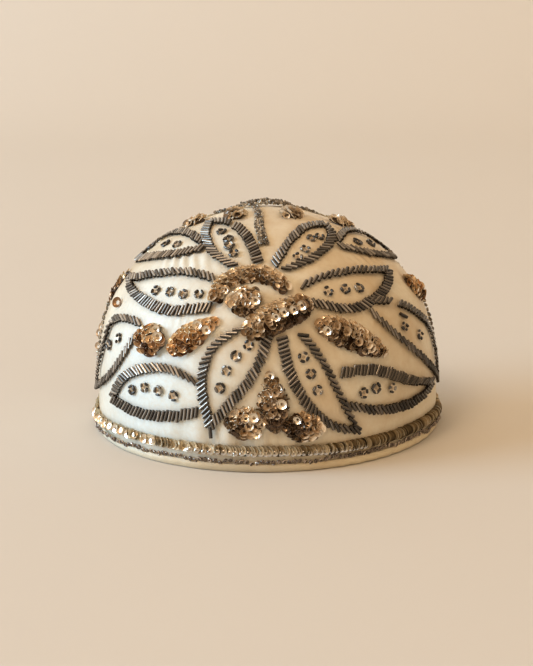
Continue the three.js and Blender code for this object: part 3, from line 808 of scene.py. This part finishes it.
def sequins(name, at, face, heading, radius, tone, material, slot="sequins", node=None,
            template=CUP, paler=None):
    """Sequins as one mesh, with values for their material.

    tone is each one's shade, partly its own and on the mounds and the band partly painted light,
    and paler a side and how much paler it is on that side.
    rim tells how near a point is to the rim, and glint how far it is towards the side with the
    painted highlight.
    """
    points, faces = scatter(template, at, face, heading, radius)
    spokes = points.reshape(len(at), -1, 3) - at[:, None]
    tones = np.repeat(tone[:, None], spokes.shape[1], 1)
    if paler:
        side, amount = paler
        lift = np.clip(0.5 + 1.2 * (spokes / BAND_RADIUS * side[:, None]).sum(-1), 0, 1)
        tones = tones + lift * amount[:, None]
    rim = np.tile(np.hypot(template[0][:, 0], template[0][:, 1]), len(at))
    glint = 0.5 + 0.5 * unit(spokes) @ unit(np.array(GLINT_SIDE))
    add_piece(name, points, [faces], material, slot, node, sharp=40, rim=rim, glint=glint,
              tone=np.clip(tones, 0, 1))


def sequin_mound(row, seed):
    """A mound's sequins, and a core, painted dark as shade, that closes the gaps between them."""
    rng = np.random.default_rng(seed)
    lay = whorl_places if row["lay"] == "whorl" else row_places
    at, face, heading = lay(row, rng)
    # Painted light: sequins turned to the mound's light side get paler tones, the others darker.
    tone = row["pale"] + row["depth"] * light_side(row, at, face)
    tone = tone + rng.normal(0, TONE_SPREAD, len(at))
    radius = rng.uniform(*SEQUIN_RADIUS, len(at)) * row["fine"]
    sequins("sequins_on_" + row["name"], at, face, heading, radius, tone, LOOKS[row["look"]],
            node="sequins_" + row["name"])
    steps, around = 12, 9
    share = np.repeat(np.linspace(0.03, 0.97, steps), around)
    angle = np.tile(np.linspace(0, 180, around), steps)
    core = on_mound(row, share, angle, CORE_SWELL)[0]
    last = np.arange(len(core) - around, len(core))
    walls = grid_faces(steps, around, False, True)[:, ::-1]
    add_piece("core_of_" + row["name"], core, [walls, np.arange(around)[None], last[None, ::-1]],
              MOUND_SHADE_CORE, "sequins")


def bright_sequins(row, seed):
    """Sequins turned to mirror the light, in the paler painted glint foil."""
    rng = np.random.default_rng(seed)
    share, angle = np.array(row["bright"], float).T
    at, face, heading = on_mound(row, share, angle)
    tilt = np.array(BRIGHT_FACE) + rng.normal(0, 0.07, at.shape)
    sequins("bright_sequins_on_" + row["name"], at + face * 0.9, tilt, heading,
            rng.uniform(*SEQUIN_RADIUS, len(at)), np.full(len(at), 0.7), PAINTED_GLINT_FOIL)


# Single sequins at the left side: az, up, how far each stands off, radius and tone.
LONE_SEQUINS = [("copper", COPPER, [(-71.5, 68, 1.2, 2.7, 0.22)]),
                ("pale", ROSETTE_CENTRE, [(-84, 51, 1.0, 1.9, 0.25), (-86, 47, 1.2, 2.1, 0.1),
                                          (-87, 40, 1.0, 1.8, 0.2)])]


def lone_sequins():
    """A single copper sequin and a few loose translucent ones, turned towards the front."""
    rng = np.random.default_rng(18)
    for name, look, places in LONE_SEQUINS:
        az, up, lift, radius, tone = np.array(places, float).T
        seat = surface(az, up)
        normal = outward(seat)
        face = normal + [0.0, -0.9, 0.1] + rng.normal(0, 0.1, normal.shape)
        level = np.cross(normal, [0.0, 0.0, 1.0])
        sequins("lone_sequins_" + name, seat + normal * lift[:, None], face, level, radius,
                tone, look)


# ---- trims ----

# What changes round the band: angles from the front, and the values there. pitch is its
# spacing, tilt its lean along the band in degrees and loose the spread of that, low how
# far it sits below its line, tone its shade, painted paler towards the lit left and darker
# towards the right as painted light, and tone_spread the spread of that, and upper how much
# paler each sequin's upper side is.
BAND_ROUND = dict(
    pitch=([-30, -10, 15, 40, 82, 100], [1.9, 1.4, 1.3, 0.8, 0.85, 1.9]),
    tilt=([-60, -25, 0, 15, 35, 82, 100], [-18, -20, -34, -44, -76, -72, -18]),
    loose=([-90, -60, -25, -5, 82, 100], [14, 24, 18, 5, 5, 14]),
    low=([0, 20, 82, 100], [0, 1.0, 1.0, 0.4]),
    tone=([-60, -20, 20, 50, 82, 100], [0.86, 0.52, 0.32, 0.15, 0.22, 0.7]),
    tone_spread=([0, 40], [0.2, 0.24]),
    upper=([0, 40], [0.42, 0.16]))
BAND_RADIUS = 2.6
SIDE_LINES = [("left", [(-93, 60), (-92, 45), (-91, 30)]),
              ("right", [(94, 62), (92, 45), (91, 30)])]


def ring_beads(name, line, closed, size, seed, node, glass, wander, lift=0.0):
    """A line of ring beads that lie with their holes more or less outwards."""
    rng = np.random.default_rng(seed)
    count = len(line)
    flat = 0.6
    direction = along(line, closed)
    normal = outward(line)
    side = np.cross(normal, direction)
    rise = size * 0.62 + np.reshape(lift, (-1, 1)) + rng.uniform(-0.1, 0.3, (count, 1))
    at = line + side * rng.normal(0, wander, (count, 1)) + normal * rise
    axis = normal * rng.uniform(flat, 1, (count, 1)) - side * rng.uniform(0, 0.5, (count, 1)) \
        + direction * rng.normal(0, 1 - flat, (count, 1))
    scale = rng.uniform(0.86, 1.12, (count, 1)) * [size, size, size * 1.1]
    points, faces = scatter(RING_BEAD, at, axis, side, scale)
    add_piece(name, points, [faces], glass, "seed_beads", node, sharp=35)


def bead_line():
    """The wavering line of dark beads round the edge."""
    count = 240
    share = sag_share(count)
    turn = np.linspace(0, 2 * pi, count, endpoint=False)
    wiggle = (0.3 * np.sin(23 * turn) + 0.25 * np.sin(41 * turn + 1)) * (1 - np.minimum(share, 1))
    lift = 0.9 * np.clip(BEAD_LINE["sag"] * share / 0.3, 0, 1)
    ring_beads("rim_bead_line", trim_line(BEAD_LINE, count, wiggle - 0.4), True, 1.12, 11,
               "bead_line", RING_GLASS, wander=0.3, lift=lift)


def gold_band():
    """Overlapping gold sequins, with small silver domes and bright sequins on them."""
    def here(key):
        return np.interp(az, *BAND_ROUND[key])

    rng = np.random.default_rng(12)
    loop = trim_line(BAND, 1200)
    az = azimuth_of(loop)
    turns = np.cumsum(np.linalg.norm(loop - np.roll(loop, 1, 0), axis=1) / here("pitch"))
    pick = np.searchsorted(turns, np.arange(0.5, turns[-1], 1.0)) % len(loop)
    seat, direction = loop[pick], along(loop, True)[pick]
    count = len(seat)
    az = azimuth_of(seat)
    normal = outward(seat)
    side = np.cross(normal, direction)
    tilt = np.radians(here("tilt") + rng.normal(0, 1, count) * here("loose"))[:, None]
    face = normal * np.cos(tilt) + direction * np.sin(tilt) + side * rng.normal(0, 0.08, (count, 1))
    low = here("low")[:, None]
    at = seat - side * low + side * rng.normal(0, 0.15, (count, 1)) + normal * (1.1 - 0.4 * low)
    radius = rng.uniform(2.5, 2.75, count)
    tone = here("tone") + rng.normal(0, 1, count) * here("tone_spread")
    sequins("gold_sequin_band", at, face, direction, radius, tone, OLD_GOLD, "gold_sequins",
            "sequin_band", template=BAND_CUP, paler=(side, here("upper")))

    def some_of(start, stop, every):
        return (az > start) & (az < stop) & (np.arange(count) % every == 0)

    front = some_of(start=-26, stop=32, every=2)
    turn = np.array(DOME_FACE) + rng.normal(0, 0.05, (front.sum(), 3))
    turn[:, 0] += np.sin(np.radians(az[front])) * 0.35
    sequins("band_domes", at[front] - side[front] * 0.7 + normal[front] * 1.3, turn,
            direction[front], rng.uniform(1.4, 1.6, front.sum()), np.full(front.sum(), 0.6),
            SILVER, "gold_sequins", template=DOME)
    left = some_of(start=-86, stop=-36, every=3)
    turn = np.array(MIRROR_FACE) + rng.normal(0, 0.13, (left.sum(), 3))
    sequins("band_flashes", at[left] + normal[left] * 0.9, turn, direction[left],
            rng.uniform(1.9, 2.4, left.sum()), rng.uniform(0.5, 1.0, left.sum()), PAINTED_GLINT_FOIL,
            "gold_sequins", template=BAND_CUP)


def seed_pad(name, seats, lift, rng, node, size):
    """Seed beads that lie every way, on given places."""
    count = len(seats)
    at = seats + outward(seats) * (lift + rng.uniform(-0.1, 0.45, (count, 1)))
    axis = rng.normal(0, 1, (count, 3)) + outward(seats)
    points, faces = scatter(SEED_BEAD, at, axis, rng.normal(0, 1, (count, 3)),
                            rng.uniform(*size, count))
    add_piece(name, points, [faces], SEED_GLASS, "seed_beads", node, smooth=False)


def bead_strips():
    """The stem's rows of seed beads and the two lines at the sides."""
    rng = np.random.default_rng(13)
    row_pitch, bead_pitch, line_pitch, widths = 1.05, 1.1, 2.25, (3.4, 4.8)
    line = smooth_line([(-90, 152.4), (-18, 147), (-6, 131), (-1, 116)])
    rows = round(length_of(line) / row_pitch)
    spine = even(line, rows)
    side = np.cross(outward(spine), along(spine))
    at = []
    for middle, across, wide in zip(spine, side, np.linspace(*widths, rows)):
        count = round(wide / bead_pitch)
        for k in range(count):
            off = (k + 0.5) / count - 0.5
            at.append(middle + across * off * wide + rng.normal(0, 0.12, 3))
    seed_pad("stem_beads", lay_on(np.array(at)), 0.9, rng, "bead_stem", (0.66, 0.8))
    for name, places in SIDE_LINES:
        line = smooth_line(places)
        line = even(line, round(length_of(line) / line_pitch))
        ring_beads("side_bead_line_" + name, line, False, 1.25, 14, "bead_line_side_" + name,
                   SEED_GLASS, wander=0.15)


def top_bar():
    """The bar of seed beads across the top, with a thin tail each side."""
    rng = np.random.default_rng(15)
    half, swell_half, tail_width, swell_width, spacing = 27, 14, 2, 9, 1.4
    middle_y, bend = 8, 13
    at, lift = [], []
    for x in np.arange(-half, half + 0.1, spacing):
        swell = sqrt(max(0, 1 - (x / swell_half) ** 2))
        width = tail_width + swell_width * swell
        count = max(1, round(width / 1.5))
        y = middle_y + bend * (x / half) ** 2
        for k in range(count):
            off = (k + 0.5) / count - 0.5
            at.append([x + rng.normal(0, 0.15), y + off * width, HEIGHT])
            lift.append(0.7 + 1.9 * swell * (1 - 4 * off * off))
    seed_pad("top_bar_beads", lay_on(np.array(at)), np.array(lift)[:, None], rng,
             "bead_bar_top", (0.8, 1.05))


# ---- satin ----

# Small upright folds in the satin between the beadwork: az, up, half width and half height
# of the patch, the folds' pitch and depth in millimetres, and how far they slant.
PUCKERS = [(-47, 100, 15, 6, 7.2, 0.95, 0.89), (-12.3, 17, 26, 7, 15.2, 1.25, 0),
           (2, 16, 14, 4, 4.5, 0.35, 0), (62, 96, 12, 6, 4.5, 0.4, 0),
           (-30, 67, 12, 4, 4.0, 0.3, 0), (35, 66, 10, 4, 4.0, 0.3, 0),
           (-70, 66, 12, 6, 5.0, 0.35, 0), (60, 17, 16, 4, 5.0, 0.3, 0),
           (-45, 16, 16, 3, 5.0, 0.25, 0)]


def soft_waves(p, seed, count, shortest, longest):
    """Smooth random unevenness over points, about -1 to 1."""
    rng = np.random.default_rng(seed)
    total = np.zeros(p.shape[:-1])
    for _ in range(count):
        ray = unit(rng.normal(0, 1, 3)) * 2 * pi / rng.uniform(shortest, longest)
        total += np.sin(p @ ray + rng.uniform(0, 2 * pi))
    return total / sqrt(count)


def sewn_points():
    """Points along every sewn line, which draw the satin in."""
    lines = [even(smooth_line([*row[side], row["tip"]]), 60)
             for row in LEAVES for side in ("one", "other")]
    lines += [even(smooth_line(row["path"]), 30) for row in MOUNDS]
    lines += [trim_line(row, 400) for row in (BEAD_LINE, BAND)]
    return np.concatenate(lines)


def nearest(points, targets):
    out = np.empty(len(points))
    for first in range(0, len(points), 4000):
        some = points[first:first + 4000]
        gap = some[:, None] - targets[None]
        out[first:first + 4000] = np.sqrt((gap * gap).sum(-1).min(1))
    return out


def satin_relief(p, away):
    """How far the satin stands proud of the crown's plain shape."""
    drawn_in, drawn_width = 0.45, 2.6
    az, up = azimuth_of(p), up_of(p)
    relief = 0.22 * soft_waves(p, 3, 10, 30, 70) + 0.08 * soft_waves(p, 4, 14, 8, 20)
    reach = np.maximum(reach_of(p), 0.05) * HALF_WIDTH
    for at_az, at_up, wide, tall, pitch, deep, slant in PUCKERS:
        across, rise = np.radians(az - at_az) * reach, up - at_up
        window = np.exp(-(across / wide) ** 2 - (rise / tall) ** 2)
        relief += deep * window * np.cos(2 * pi * (across + slant * rise) / pitch)
    relief -= drawn_in * np.exp(-(away / drawn_width) ** 2)
    return relief


def fairness(p):
    """Painted sheen: how far the satin is painted paler and cooler, most towards the front left."""
    rise = np.minimum(np.interp(up_of(p), [8, 11.5], [0.5, 1]), 1.45 - up_of(p) / 110)
    return 0.9 * np.exp(-((azimuth_of(p) + 42) / 32) ** 2) * np.clip(rise, 0, 1)


def crown():
    """The satin shell, drawn in along the sewn lines."""
    columns, rows, flat_rows = 420, 110, 2
    foot = edge_loop(columns, BINDING_SEAT)
    az, low = azimuth_of(foot), up_of(foot)
    share = (np.arange(rows) / rows)[:, None]
    outer = surface(az[None], low[None] + (APEX_UP - low[None]) * share).reshape(-1, 3)
    outer = np.concatenate([outer, [[0, 0, HEIGHT]]])
    normal = outward(outer)
    normal[-1] = [0, 0, 1]
    inner = outer - normal * SHELL_THICK
    away = nearest(outer, sewn_points())
    relief = satin_relief(outer, away)
    fade = np.clip(np.repeat(np.arange(rows + 1), columns)[:len(outer)] / flat_rows, 0, 1)
    outer = outer + normal * (relief * fade)[:, None]
    count = len(outer)
    walls = grid_faces(rows, columns, False, True)[:, ::-1]
    top = (rows - 1) * columns
    j = np.arange(columns)
    k = (j + 1) % columns
    cap = np.stack([top + j, top + k, np.full(columns, count - 1)], -1)
    edge = np.stack([j, k, k + count, j + count], -1)[:, ::-1]
    faces = [np.concatenate([walls, walls[:, ::-1] + count, edge]),
             np.concatenate([cap, cap[:, ::-1] + count])]
    # Painted shade and grime: the satin is painted darker and browner beside the sewn lines, less
    # so near the rim.
    seam_shade_and_grime = np.interp(up_of(outer), [10, 17], [0.1, 0.36]) * np.exp(-(away / 3.2) ** 2)
    add_piece("satin_crown", np.concatenate([outer, inner]), faces, SATIN, "satin", "crown",
              sewn=np.concatenate([seam_shade_and_grime, np.zeros(count)]), fair=np.tile(fairness(outer), 2))


def binding():
    """The rolled satin binding, puffed outside and turned under to the lining."""
    count = 640
    loop = edge_loop(count)
    inwards = inwards_from(loop)
    # Round the strip from its outer edge: how far inwards, and how far off the crown.
    section = [(0.45, 0.0), (0.2, 0.35), (0.35, 0.8), (0.9, 1.25), (1.7, 1.5), (2.5, 1.5),
               (3.3, 1.25), (3.9, 0.8), (4.2, 0.3), (3.4, 0.2), (1.2, 0.2), (1.2, -2.6),
               (3.8, -2.6), (4.1, -2.9), (2.6, -3.3), (1.0, -3.3), (0.2, -2.9), (0.0, -1.6)]
    wobble = 0.12 * soft_waves(loop, 5, 12, 6, 18)
    az = azimuth_of(loop)
    run = np.arange(count) / count * length_of(loop)
    creased = 0.22 * np.exp(-((az - 38) / 26) ** 2)
    points = []
    for across, rise in section:
        seat = lay_on(loop + inwards * across)
        puff = wobble + creased * np.sin(2 * pi * (run + 1.6 * across) / 8.5)
        points.append(seat + outward(seat) * (rise + puff * (rise > 0.5))[:, None])
    points = np.stack(points, 1)
    points[..., 2] = np.maximum(points[..., 2], 0.0)
    faces = grid_faces(count, len(section), True, True)
    # Painted sheen: the binding is painted paler and cooler towards the front left.
    fair = np.repeat(0.8 * np.exp(-((az + 60) / 26) ** 2), len(section))
    # Painted shade: the binding is painted darker along the outer edge of its roll, and towards the
    # front centre.
    rolled_edge_shade = np.array([0.7, 0.6, 0.45, 0.2] + [0] * (len(section) - 4))
    shade = 0.6 * np.exp(-((az + 8) / 26) ** 2)[:, None]
    add_piece("satin_binding", points.reshape(-1, 3), [faces], BINDING_SATIN, "binding",
              "edge_binding", fair=fair, sewn=np.maximum(rolled_edge_shade[None], shade))


# ---- studio ----

TARGET = Vector((0, SHIFT[1] * MM, 0.0444))
# Soft light from all round, and more from a patch of sky overhead to the left.
AMBIENT = dict(colour=(0.76, 0.53, 0.325), towards=(-0.4, -0.45, 0.8),
               strengths=[(0.0, 0.93), (0.79, 0.93), (0.87, 1.55), (0.985, 1.6), (0.992, 13.0)])


def direction(azimuth, elevation):
    """The way from the hat to a place, with azimuth from the front towards -X."""
    azimuth, elevation = radians(azimuth), radians(elevation)
    return Vector((-sin(azimuth) * cos(elevation),
                   -cos(azimuth) * cos(elevation), sin(elevation)))


def camera():
    distance = 0.9
    back = direction(azimuth=0, elevation=15.0)
    turn = (-back).to_track_quat("-Z", "Y").to_matrix().to_4x4()
    roll = Matrix.Rotation(radians(-0.68), 4, "Z")
    obj = add_object("camera", bpy.data.cameras.new("camera"), lens=96.8,
                     sensor_width=36.0, clip_start=0.05, clip_end=50)
    obj.matrix_world = Matrix.Translation(TARGET + back * distance) @ turn @ roll
    bpy.context.scene.camera = obj


def key_light():
    distance = 3.0
    away = direction(azimuth=82.0, elevation=20.0)
    obj = add_object("key", bpy.data.lights.new("key", "AREA"), shape="DISK", size=1.9,
                     energy=86.0, color=(0.56, 0.80, 1.0))
    obj.location = TARGET + away * distance
    obj.rotation_euler = away.to_track_quat("Z", "Y").to_euler()


def ambient():
    """The world's light, by how near its direction is to the bright patch."""
    n = Nodes(bpy.data.worlds.new("studio"))
    nearness = n.add("VectorMath", operation="DOT_PRODUCT")
    n.feed(nearness.inputs[0], n.add("TexCoord").outputs["Generated"])
    n.feed(nearness.inputs[1], Vector(AMBIENT["towards"]).normalized())
    strength = n.ramp(nearness.outputs["Value"], AMBIENT["strengths"])
    bpy.context.scene.world = n.shade("Background", Color=AMBIENT["colour"], Strength=strength)


def cyclorama():
    """A floor that sweeps up into a wall behind the hat."""
    near, bend_from, radius, high, half = -2500.0, 900.0, 700.0, 2500.0, 3500.0
    bend = np.linspace(0, pi / 2, 25)
    ys = np.concatenate([[near], bend_from + radius * np.sin(bend), [bend_from + radius]])
    zs = np.concatenate([[0], radius * (1 - np.cos(bend)), [high]])
    points = [[x, y, z] for y, z in zip(ys, zs) for x in (-half, half)]
    obj = add_mesh("cyclorama", np.array(points), [grid_faces(len(ys), 2)])
    n = new_material("seamless_paper")
    blotches = n.range(n.noise(3.0), 0.0, 1.0)
    obj.data.materials.append(
        n.shade(Base_Color=n.mix(blotches, (0.645, 0.635, 0.605), (0.63, 0.62, 0.59)),
                Roughness=0.9, Specular_IOR_Level=0.1))


bpy.context.scene.view_settings.view_transform = "Standard"
for build in (camera, key_light, ambient, cyclorama, crown, binding, bead_line, gold_band,
              bead_strips, top_bar):
    build()
for number, leaf_row in enumerate(LEAVES):
    bugle_leaf(leaf_row, 100 + number)
    rosettes(leaf_row, 200 + number)
for number, mound_row in enumerate(MOUNDS):
    sequin_mound(mound_row, 300 + number)
    if mound_row["bright"]:
        bright_sequins(mound_row, 400 + number)
lone_sequins()
